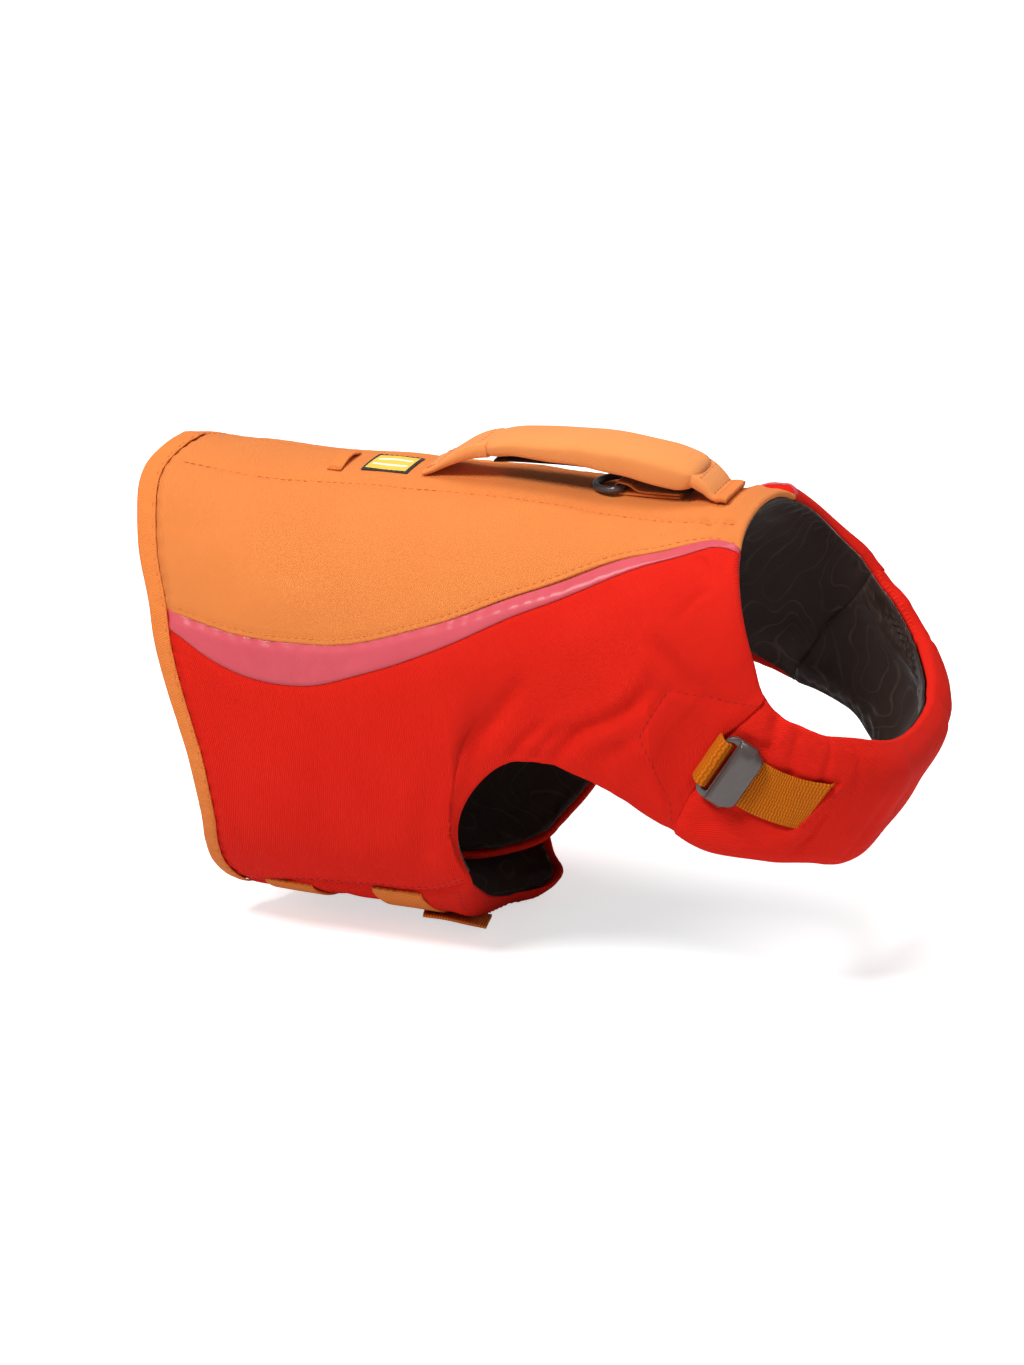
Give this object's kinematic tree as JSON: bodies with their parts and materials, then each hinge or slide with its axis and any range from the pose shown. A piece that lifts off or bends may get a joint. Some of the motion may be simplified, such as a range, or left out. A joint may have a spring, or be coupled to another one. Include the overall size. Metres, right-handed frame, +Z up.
{
  "type": "dog life jacket",
  "caption": "Padded life jacket for a dog, filled out as worn and empty: back with grab handle and leash ring, sides, chest and wrapped belly, straps, open neck and leg openings.",
  "frame": {"origin": "On the underside of the back lining, at the middle of the spine under the handle, where the wearer's back carries the jacket.", "axes": "+X towards the wearer's head, +Y towards the wearer's left, +Z up"},
  "size_m": [0.3672, 0.1883, 0.2396],
  "materials": {
    "orange_cloth": "matte fine twill",
    "red_cloth": "matte fine twill",
    "shiny_band": "smooth, slightly glossy",
    "lining_cloth": "matte, faint waved print",
    "orange_webbing": "ribbed weave",
    "dark_plastic": "fine grained satin",
    "ring_metal": "satin dark coating",
    "label_cloth": "woven, plain"
  },
  "bodies": {
    "jacket": {"back_panel": "orange_cloth", "rear_binding": "orange_cloth", "handle_grip": "orange_cloth", "handle_rear_foot": "orange_cloth", "handle_front_foot": "orange_cloth", "handle_fold_bar": "orange_cloth", "ring_keeper": "orange_cloth", "light_loop": "orange_cloth", "right_side_panel": "red_cloth", "left_side_panel": "red_cloth", "chest_panel": "red_cloth", "belly_panel": "red_cloth", "right_side_shiny_band": "shiny_band", "left_side_shiny_band": "shiny_band", "back_lining": "lining_cloth", "right_side_lining": "lining_cloth", "left_side_lining": "lining_cloth", "chest_lining": "lining_cloth", "belly_lining": "lining_cloth", "handle_backing": "lining_cloth", "rear_belly_strap": "orange_webbing", "front_belly_strap": "orange_webbing", "front_strap_tail": "orange_webbing", "rear_buckle_stub": "orange_webbing", "front_buckle_stub": "orange_webbing", "right_neck_webbing_short": "orange_webbing", "right_neck_webbing_long": "orange_webbing", "left_neck_webbing_short": "orange_webbing", "left_neck_webbing_long": "orange_webbing", "rear_buckle_socket": "dark_plastic", "rear_buckle_plug": "dark_plastic", "front_buckle_socket": "dark_plastic", "front_buckle_plug": "dark_plastic", "right_neck_slider": "dark_plastic", "left_neck_slider": "dark_plastic", "label": "label_cloth"},
    "leash_ring": {"leash_ring": "ring_metal"}
  },
  "joints": [
    {"name": "leash_ring_swing", "type": "hinge", "parent": "jacket", "child": "leash_ring", "pos_m": [0.0175, 0, 0.01464], "axis": [0, 1, 0], "range_deg": [0, 26]}
  ]
}
